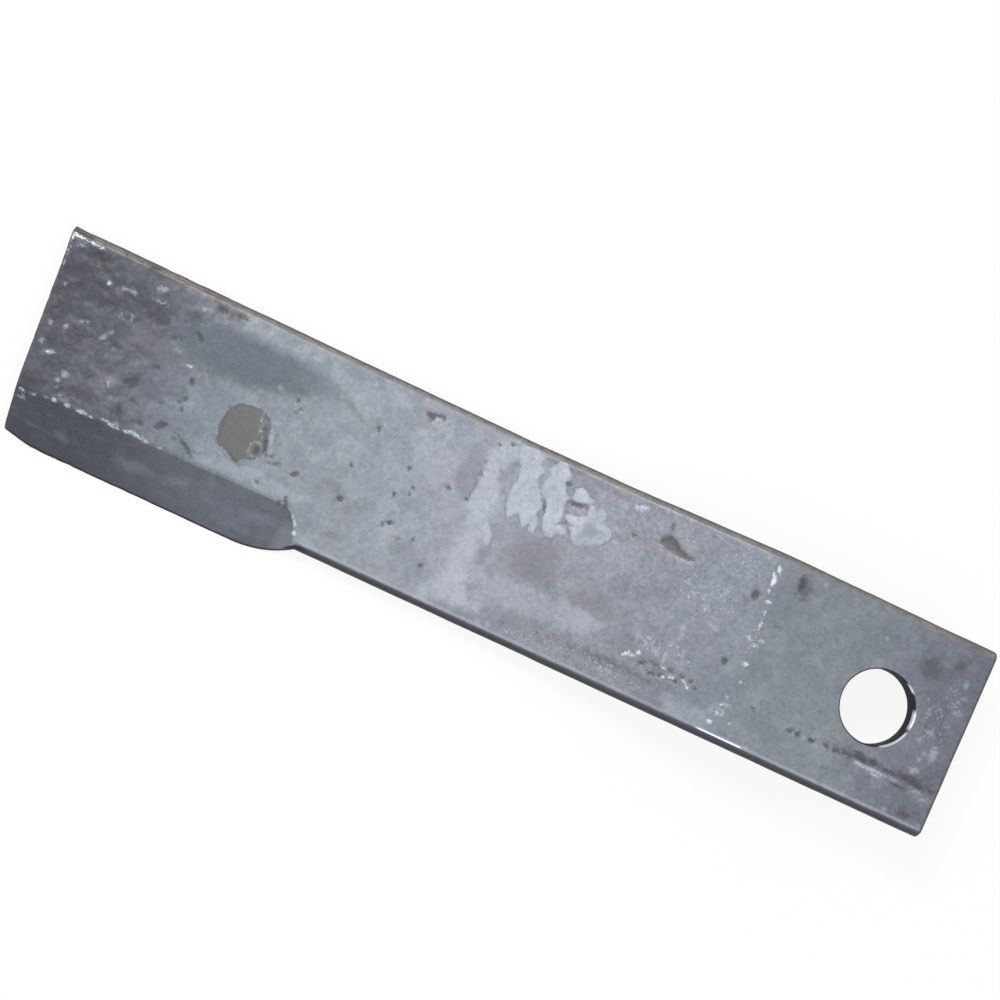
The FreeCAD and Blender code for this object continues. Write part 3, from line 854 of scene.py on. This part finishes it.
def makeScale():
    material = bpy.data.materials.new("mill scale")
    material.use_nodes = True
    tree = material.node_tree
    shader = tree.nodes["Principled BSDF"]
    place = addNode(tree, "TexCoord").outputs["Object"]
    axes = addNode(tree, "SeparateXYZ")
    tree.links.new(place, axes.inputs[0])
    along = axes.outputs["X"]

    broad = noiseAt(tree, place, 38, 4, 0.55, 0.6)
    patchy = noiseAt(tree, place, 120, 5, 0.6, 0.8)
    grain = noiseAt(tree, place, 420, 5, 0.62, 0.4)
    grit = noiseAt(tree, place, 720, 4, 0.6, 0.3)
    fine = noiseAt(tree, place, 1300, 3, 0.6)

    # the base tone ramp along the blade, whose lighter middle is partly painted sheen
    ramp = addNode(tree, "ValToRGB")
    first = steel["alongBlade"][0][0]
    last = steel["alongBlade"][-1][0]
    shifted = calculate(tree, "ADD", along,
                        calculate(tree, "MULTIPLY", calculate(tree, "SUBTRACT", patchy, 0.5), 0.05))
    feed(tree, ramp.inputs[0], remapLinear(tree, shifted, first, last))
    stops = ramp.color_ramp.elements
    while len(stops) < len(steel["alongBlade"]):
        stops.new(1)
    for stop, (x, colour) in zip(stops, steel["alongBlade"]):
        stop.position = (x - first) / (last - first)
        stop.color = colour + (1,)
    colour = ramp.outputs["Color"]

    # cool and violet drifts in the scale, stronger mottling where the steel was heated
    heated = remap(tree, along, 0.370, 0.410)
    upper = calculate(tree, "MULTIPLY", heated, remap(tree, axes.outputs["Y"], 0.012, -0.022))
    colour = mixColour(tree, calculate(tree, "MULTIPLY", upper, 0.8), colour,
                       (0.76, 0.75, 0.75, 1), "MULTIPLY")
    cloud = noiseAt(tree, place, 75, 5, 0.65, 1.2)
    colour = mixColour(tree, remap(tree, cloud, 0.42, 0.60, 0.0, 0.30), colour,
                       (0.76, 0.77, 0.79, 1), "MULTIPLY")
    # flakes of scale as wavy cells, each a little lighter or darker
    stir = addNode(tree, "TexNoise")
    stir.inputs["Scale"].default_value = 160
    stir.inputs["Detail"].default_value = 4
    tree.links.new(place, stir.inputs["Vector"])
    swirl = addNode(tree, "VectorMath", operation="MULTIPLY_ADD")
    tree.links.new(stir.outputs["Color"], swirl.inputs[0])
    swirl.inputs[1].default_value = (0.012, 0.012, 0.012)
    tree.links.new(place, swirl.inputs[2])
    cells = addNode(tree, "TexVoronoi")
    cells.inputs["Scale"].default_value = 95
    tree.links.new(swirl.outputs[0], cells.inputs["Vector"])
    tones = addNode(tree, "SeparateColor")
    tree.links.new(cells.outputs["Color"], tones.inputs[0])
    colour = mixColour(tree, remap(tree, tones.outputs[0], 0.55, 0.62, 0.0, 0.22), colour,
                       (0.72, 0.72, 0.75, 1), "MULTIPLY")
    colour = mixColour(tree, remap(tree, tones.outputs[1], 0.66, 0.72, 0.0, 0.20), colour,
                       (1.30, 1.30, 1.28, 1), "MULTIPLY")
    colour = mixColour(tree, remap(tree, grain, 0.50, 0.66, 0.0, 0.42), colour,
                       (0.84, 0.85, 0.85, 1), "MULTIPLY")
    colour = mixColour(tree, remap(tree, grain, 0.50, 0.34, 0.0, 0.42), colour,
                       (1.15, 1.14, 1.14, 1), "MULTIPLY")
    drift = remap(tree, broad, 0.35, 0.65)
    colour = mixColour(tree, calculate(tree, "MULTIPLY", drift, 0.5), colour,
                       (1.06, 1.0, 1.02, 1), "MULTIPLY")
    colour = mixColour(tree, calculate(tree, "MULTIPLY", remap(tree, patchy, 0.62, 0.38), 0.35),
                       colour, (0.80, 0.84, 0.86, 1), "MULTIPLY")
    blotch = remap(tree, patchy, 0.56, 0.44)
    colour = mixColour(tree, calculate(tree, "MULTIPLY", calculate(tree, "MULTIPLY", blotch, heated),
                                       0.6), colour, (0.66, 0.69, 0.74, 1), "MULTIPLY")
    light = remap(tree, grain, 0.62, 0.76)
    colour = mixColour(tree, calculate(tree, "MULTIPLY", calculate(tree, "MULTIPLY", light, heated),
                                       0.4), colour, (0.20, 0.215, 0.245, 1))

    colour = layMark(tree, colour, "haze", patchy, 12, 2.6, 0.55)
    slateShare = remap(tree, along, 0.300, 0.345, 0.3, 0.88)
    colour = layMark(tree, colour, "slate", patchy, 9, 4.2, slateShare)
    colour = layMark(tree, colour, "umber", patchy, 5, 1.6, 0.6)
    colour = layMark(tree, colour, "band", patchy, 5, 2.0, 0.8)
    colour = layMark(tree, colour, "veil", patchy, 12, 2.4, 0.26)
    colour = layMark(tree, colour, "milky", patchy, 12, 3.4, 0.66)
    pale = cover(tree, "pale", grit, 5.0, 0.8)
    inner = calculate(tree, "MULTIPLY", remap(tree, field(tree, "pale"), 2.0, 6.0),
                      remap(tree, along, 0.182, 0.170, 0.2, 1.0))
    paleTone = mixColour(tree, calculate(tree, "MULTIPLY", inner, remap(tree, broad, 0.4, 0.6)),
                         steel["pale"], steel["paleCentre"])
    paleTone = mixColour(tree, calculate(tree, "MULTIPLY", remap(tree, patchy, 0.6, 0.4), 0.5),
                         paleTone, (0.82, 0.84, 0.86, 1), "MULTIPLY")
    paleTone = mixColour(tree, remap(tree, grit, 0.42, 0.60, 0.0, 0.3), paleTone,
                         (0.84, 0.86, 0.88, 1), "MULTIPLY")
    paleTone = mixColour(tree, remap(tree, along, 0.174, 0.168), paleTone,
                         (0.86, 0.86, 0.87, 1), "MULTIPLY")
    colour = mixColour(tree, calculate(tree, "MULTIPLY", pale, 0.9), colour, paleTone)
    colour = mixColour(tree, remap(tree, grit, 0.50, 0.66, 0.0, 0.30), colour,
                       (0.78, 0.79, 0.80, 1), "MULTIPLY")
    colour = mixColour(tree, remap(tree, grit, 0.48, 0.34, 0.0, 0.30), colour,
                       (1.20, 1.19, 1.18, 1), "MULTIPLY")
    drifts = noiseAt(tree, place, 210, 3, 0.5, 1.6)
    colour = mixColour(tree, remap(tree, drifts, 0.50, 0.64, 0.0, 0.8), colour,
                       (0.86, 0.90, 0.89, 1), "MULTIPLY")
    colour = mixColour(tree, remap(tree, drifts, 0.48, 0.36, 0.0, 0.8), colour,
                       (1.12, 1.08, 1.10, 1), "MULTIPLY")
    outline = window(tree, field(tree, "pale"), -1.6, 0.3, 0.7)
    colour = mixColour(tree, calculate(tree, "MULTIPLY", outline, remap(tree, patchy, 0.45, 0.6, 0.0, 0.7)),
                       colour, (0.66, 0.68, 0.70, 1), "MULTIPLY")
    brownTone = mixColour(tree, remap(tree, drifts, 0.45, 0.60, 0.0, 0.6), steel["brown"],
                          (0.86, 0.86, 0.88, 1), "MULTIPLY")
    brownTone = mixColour(tree, remap(tree, field(tree, "brown"), 1.4, 0.2, 0.0, 0.5), brownTone,
                          (0.68, 0.70, 0.74, 1), "MULTIPLY")
    colour = mixColour(tree, cover(tree, "brown", grain, 3.0, 0.5), colour, brownTone)
    smudgeTone = mixColour(tree, heated, steel["smudge"], steel["smudgeTip"])
    colour = mixColour(tree, calculate(tree, "MULTIPLY", cover(tree, "smudge", grain, 9, 2.8), 0.6),
                       colour, smudgeTone)

    # the forged bevel is darker and runs smoother, with faint streaks along it, a painted lighter crescent
    # where its rounded end wall catches the light, and painted sheen patches
    streaks = addNode(tree, "Mapping")
    streaks.inputs["Scale"].default_value = (0.12, 1, 1)
    tree.links.new(place, streaks.inputs["Vector"])
    drawn = noiseAt(tree, streaks.outputs[0], 420, 4, 0.6)
    bevelTone = mixColour(tree, remap(tree, along, 0.335, 0.425), steel["bevel"],
                          steel["bevelTip"])
    bevelTone = mixColour(tree, calculate(tree, "MULTIPLY", remap(tree, drawn, 0.55, 0.75), 0.35),
                          bevelTone, (0.19, 0.20, 0.235, 1))
    bevelTone = mixColour(tree, calculate(tree, "MULTIPLY", remap(tree, patchy, 0.6, 0.4), 0.4),
                          bevelTone, (0.78, 0.82, 0.84, 1), "MULTIPLY")
    # painted light: a lighter crescent where the bevel's rounded end wall catches the light
    endWallLight = calculate(tree, "MULTIPLY", remap(tree, along, 0.3100, 0.3035),
                         remap(tree, axes.outputs["Y"], 0.037, 0.046))
    bevelTone = mixColour(tree, calculate(tree, "MULTIPLY", endWallLight, 0.8), bevelTone,
                          (0.25, 0.275, 0.315, 1))
    bevelTone = mixColour(tree, remap(tree, drifts, 0.46, 0.60, 0.0, 0.55), bevelTone,
                          (0.78, 0.80, 0.82, 1), "MULTIPLY")
    bevelTone = mixColour(tree, remap(tree, grain, 0.52, 0.36, 0.0, 0.45), bevelTone,
                          (1.20, 1.18, 1.18, 1), "MULTIPLY")
    # painted sheen patches on the bevel
    bevelTone = layMark(tree, bevelTone, "sheen", patchy, 9, 2.8, 0.5)
    onBevel = remap(tree, calculate(tree, "ADD", field(tree, "bevel"),
                    calculate(tree, "MULTIPLY", grain, 0.3)), 0.38, 0.66)
    colour = mixColour(tree, onBevel, colour, bevelTone)

    # speckle, pits, chips that are partly flaked scale and partly painted glints, and painted glints
    speckled = remap(tree, field(tree, "speckle"), 0.0, 0.35)
    brightDots = remap(tree, grit, 0.56, 0.64)
    colour = mixColour(tree, calculate(tree, "MULTIPLY", calculate(tree, "MULTIPLY", brightDots,
                                       speckled), 0.7), colour, steel["fleck"])
    darkDots = remap(tree, grain, 0.42, 0.34)
    colour = mixColour(tree, calculate(tree, "MULTIPLY", calculate(tree, "MULTIPLY", darkDots,
                                       speckled), 0.6), colour, steel["smudge"])
    stretched = addNode(tree, "Mapping")
    stretched.inputs["Scale"].default_value = (1, 0.45, 1)
    tree.links.new(place, stretched.inputs["Vector"])
    runs = remap(tree, noiseAt(tree, stretched.outputs[0], 560, 4, 0.7, 0.8), 0.52, 0.66)
    runs = calculate(tree, "MULTIPLY", runs, window(tree, along, 0.086, 0.127, 0.008))
    runs = calculate(tree, "MULTIPLY", runs, window(tree, axes.outputs["Y"], 0.012, 0.026, 0.004))
    colour = mixColour(tree, calculate(tree, "MULTIPLY", runs, 0.5), colour, steel["fleck"])
    colour = layMark(tree, colour, "fleck", grit, 5.0, 0.9, 0.6)
    colour = layMark(tree, colour, "dent", grit, 3.2, 0.8, 0.82)
    pit = cover(tree, "pit", grit, 3.4, 0.8)
    pitTone = mixColour(tree, remap(tree, drifts, 0.44, 0.56), steel["pit"], steel["pitFloor"])
    colour = mixColour(tree, calculate(tree, "MULTIPLY", pit, 0.85), colour, pitTone)
    colour = mixColour(tree, calculate(tree, "MULTIPLY", cover(tree, "warm", patchy, 9, 1.6),
                       0.75), colour, steel["warm"] + (1,), "MULTIPLY")
    # chip spots: partly flaked scale, partly painted glints
    chipAndGlintShare = remap(tree, along, 0.002, -0.002, 0.85, 0.55)
    colour = layMark(tree, colour, "chipAndGlint", grit, 3.2, 0.6, chipAndGlintShare)
    glint = cover(tree, "glint", fine, 2.2, 0.6)
    colour = mixColour(tree, glint, colour, steel["glint"])

    # rust and tan stains on the trailing edge, which darkens at its outer rim; painted shade down the
    # rolled leading edge and beside a painted highlight at the tight bend
    back = calculate(tree, "ADD", field(tree, "trailing"),
                     calculate(tree, "MULTIPLY", calculate(tree, "SUBTRACT", grain, 0.5), 4))
    stained = remap(tree, cloud, 0.58, 0.42, 0.15, 0.8)
    tanCover = calculate(tree, "MULTIPLY", remap(tree, back, -5.0, -2.4), stained)
    colour = mixColour(tree, tanCover, colour, steel["tan"])
    rustCover = calculate(tree, "MULTIPLY", remap(tree, back, -2.8, -1.2), 0.8)
    colour = mixColour(tree, rustCover, colour, steel["rust"])
    colour = mixColour(tree, remap(tree, field(tree, "trailing"), -1.6, -0.4), colour,
                       steel["edge"])
    # painted shade: the rolled leading edge darkens where it turns down, the forged cutting edge shows as a
    # dark line, and its outer rim goes near black
    front = calculate(tree, "ADD", field(tree, "leading"),
                      calculate(tree, "MULTIPLY", calculate(tree, "SUBTRACT", grain, 0.5), 0.8))
    narrow = remap(tree, along, 0.290, 0.300)
    plainEdgeShade = calculate(tree, "MULTIPLY", remap(tree, front, -3.7, -2.6),
                      calculate(tree, "SUBTRACT", 1.0, narrow))
    forged = calculate(tree, "MULTIPLY", remap(tree, front, -1.3, -0.3), narrow)
    edgeShadeTone = mixColour(tree, remap(tree, front, -3.4, -1.2), steel["edgeTop"], steel["edge"])
    colour = mixColour(tree, calculate(tree, "MAXIMUM", plainEdgeShade, forged), colour, edgeShadeTone)
    colour = mixColour(tree, remap(tree, front, -1.7, -0.2, 0.0, 0.75), colour,
                       (0.012, 0.012, 0.016, 1))
    # painted highlight along the shoulder where the top meets the rolled leading edge
    shoulderHighlight = window(tree, field(tree, "leading"), -5.4, -3.2, 0.7)
    colour = mixColour(tree, calculate(tree, "MULTIPLY", calculate(tree, "MULTIPLY", shoulderHighlight,
                                       calculate(tree, "SUBTRACT", 1.0, narrow)), 0.22), colour,
                       (0.50, 0.53, 0.62, 1))
    # painted shade: near black in the notch at the bevel's end
    notch = calculate(tree, "MULTIPLY", window(tree, along, 0.2890, 0.3030, 0.004),
                      remap(tree, front, -2.9, -2.0))
    colour = mixColour(tree, calculate(tree, "MULTIPLY", notch, 0.92), colour,
                       (0.006, 0.006, 0.010, 1))
    shine = calculate(tree, "MULTIPLY", window(tree, field(tree, "leading"), -4.45, -3.3, 0.4),
                      window(tree, along, 0.0535, 0.080, 0.003))
    colour = mixColour(tree, shine, colour, steel["glint"])
    shade = calculate(tree, "MULTIPLY", window(tree, field(tree, "leading"), -3.3, -1.8, 0.5),
                      window(tree, along, 0.055, 0.085, 0.006))
    colour = mixColour(tree, calculate(tree, "MULTIPLY", shade, 0.7), colour,
                       (0.075, 0.065, 0.16, 1))
    violet = calculate(tree, "MULTIPLY", window(tree, field(tree, "leading"), -6.6, -4.7, 0.6),
                       window(tree, along, 0.060, 0.076, 0.003))
    colour = mixColour(tree, calculate(tree, "MULTIPLY", violet, 0.55), colour,
                       (0.20, 0.18, 0.36, 1))

    # sheared ends; painted shade down the punched bore and round the top of its rim, and painted highlights
    # on the upper bore wall at the -x side
    ends = calculate(tree, "ADD", field(tree, "sheared"),
                     calculate(tree, "MULTIPLY", calculate(tree, "SUBTRACT", grain, 0.5), 2.4))
    colour = mixColour(tree, calculate(tree, "MULTIPLY", remap(tree, ends, -1.9, -0.5), 0.8),
                       colour, steel["sheared"])
    # painted shade: near black down the bore and round the top of its rim
    bore = remap(tree, field(tree, "bore"), -0.30, 0.0)
    colour = mixColour(tree, bore, colour, steel["bore"])
    # painted highlights: bright arcs on the upper bore wall at the -x side, where it catches the light
    behind = remap(tree, along, -0.0075, -0.0095)
    wide = window(tree, axes.outputs["Y"], -0.0075, 0.0050, 0.0035)
    wide = calculate(tree, "MULTIPLY", wide, remap(tree, axes.outputs["Z"], 0.0022, 0.0042))
    thin = window(tree, axes.outputs["Y"], 0.0040, 0.0190, 0.0030)
    thin = calculate(tree, "MULTIPLY", calculate(tree, "MULTIPLY", thin, 0.6),
                     remap(tree, axes.outputs["Z"], 0.0046, 0.0060))
    smallRimHighlight = window(tree, axes.outputs["Y"], -0.0176, -0.0130, 0.0018)
    smallRimHighlight = calculate(tree, "MULTIPLY", calculate(tree, "MULTIPLY", smallRimHighlight, 0.75),
                       remap(tree, axes.outputs["Z"], 0.0046, 0.0060))
    boreRimHighlight = calculate(tree, "MAXIMUM", calculate(tree, "MAXIMUM", wide, thin), smallRimHighlight)
    boreRimHighlight = calculate(tree, "MULTIPLY", calculate(tree, "MULTIPLY", boreRimHighlight, behind),
                       remap(tree, field(tree, "bore"), -0.6, -0.2))
    colour = mixColour(tree, calculate(tree, "MULTIPLY", boreRimHighlight, 0.9), colour, steel["glint"])

    feed(tree, shader.inputs["Base Color"], colour)
    dull = calculate(tree, "MAXIMUM", pit, bore)
    feed(tree, shader.inputs["Metallic"], remapTo(tree, dull, steel["metallic"], 0.1))
    rough = remap(tree, grain, 0.3, 0.7, steel["roughness"] - 0.06, steel["roughness"] + 0.08)
    feed(tree, shader.inputs["Roughness"],
         remapTo(tree, glint, rough, steel["glintRoughness"]))

    height = calculate(tree, "MULTIPLY", grain, 0.35)
    height = calculate(tree, "ADD", height, calculate(tree, "MULTIPLY", fine, 0.12))
    height = calculate(tree, "ADD", height, calculate(tree, "MULTIPLY", pale, 0.25))
    height = calculate(tree, "SUBTRACT", height, calculate(tree, "MULTIPLY", pit, 0.5))
    bump = addNode(tree, "Bump")
    bump.inputs["Strength"].default_value = steel["bump"]
    bump.inputs["Distance"].default_value = 0.0004
    tree.links.new(height, bump.inputs["Height"])
    tree.links.new(bump.outputs["Normal"], shader.inputs["Normal"])
    print("scale material made")
    return material


blade = drawSection()
drawBar(blade)
spreadEdge(blade)
pressBevel(blade)
punchHole(blade)
markBlade(blade)
wearBlade(blade)
makeActive(blade)
bpy.ops.object.shade_smooth_by_angle(angle=math.radians(24))
blade.data.materials.append(makeScale())
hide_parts("cutter_blade")
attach(blade, "root")

camera = {
    "location": (0.2736, 0.0522, 0.88515),
    "right": (-0.9031, -0.41944, 0.09209),
    "up": (0.42419, -0.90473, 0.03917),
    "back": (0.06688, 0.07444, 0.99498),
    "lens": 64.8,
    "sensor": 36.0,
}


def placeCamera():
    columns = [Vector(camera[name]).normalized() for name in ("right", "up", "back")]
    turned = Matrix(columns).transposed().to_4x4()
    startClean()
    bpy.ops.object.camera_add()
    eye = bpy.context.object
    eye.matrix_world = Matrix.Translation(camera["location"]) @ turned
    eye.data.lens = camera["lens"]
    eye.data.sensor_width = camera["sensor"]
    bpy.context.scene.camera = eye


placeCamera()


def areaLight(name, place, target, size, power):
    direction = Vector(target) - Vector(place)
    startClean()
    bpy.ops.object.light_add(type="AREA", location=place)
    lamp = bpy.context.object
    lamp.name = name
    lamp.rotation_euler = direction.to_track_quat("-Z", "Y").to_euler()
    lamp.data.shape = "DISK"
    lamp.data.size = size
    lamp.data.energy = power


areaLight("key", (0.95, -0.75, 1.5), (0.2, 0, 0), 0.5, 22)
areaLight("fill", (-0.5, 0.6, 1.3), (0.2, 0, 0), 0.9, 7)


def makeFloor():
    startClean()
    bpy.ops.mesh.primitive_plane_add(size=6, location=(0.2, 0, underside))
    floor = bpy.context.object
    floor.name = "floor"
    material = bpy.data.materials.new("floor white")
    material.use_nodes = True
    nodes = material.node_tree.nodes
    links = material.node_tree.links
    shader = nodes["Principled BSDF"]
    shader.inputs["Base Color"].default_value = (0.8, 0.8, 0.8, 1)
    shader.inputs["Roughness"].default_value = 1.0
    shader.inputs["Specular IOR Level"].default_value = 0.0
    white = nodes.new("ShaderNodeEmission")
    white.inputs["Color"].default_value = (1, 1, 1, 1)
    white.inputs["Strength"].default_value = 1.0
    seen = nodes.new("ShaderNodeLightPath")
    share = nodes.new("ShaderNodeMath")
    share.operation = "MULTIPLY"
    share.inputs[1].default_value = 0.88
    blend = nodes.new("ShaderNodeMixShader")
    links.new(seen.outputs["Is Camera Ray"], share.inputs[0])
    links.new(share.outputs[0], blend.inputs[0])
    links.new(shader.outputs[0], blend.inputs[1])
    links.new(white.outputs[0], blend.inputs[2])
    links.new(blend.outputs[0], nodes["Material Output"].inputs["Surface"])
    floor.data.materials.append(material)


makeFloor()

world = bpy.data.worlds.new("studio")
bpy.context.scene.world = world
world.use_nodes = True
background = world.node_tree.nodes["Background"]
background.inputs["Color"].default_value = (1, 1, 1, 1)
glow = addNode(world.node_tree, "MapRange")
world.node_tree.links.new(addNode(world.node_tree, "LightPath").outputs["Is Camera Ray"],
                          glow.inputs["Value"])
glow.inputs["To Min"].default_value = 0.55
glow.inputs["To Max"].default_value = 1.0
world.node_tree.links.new(glow.outputs["Result"], background.inputs["Strength"])
bpy.context.scene.view_settings.view_transform = "Standard"
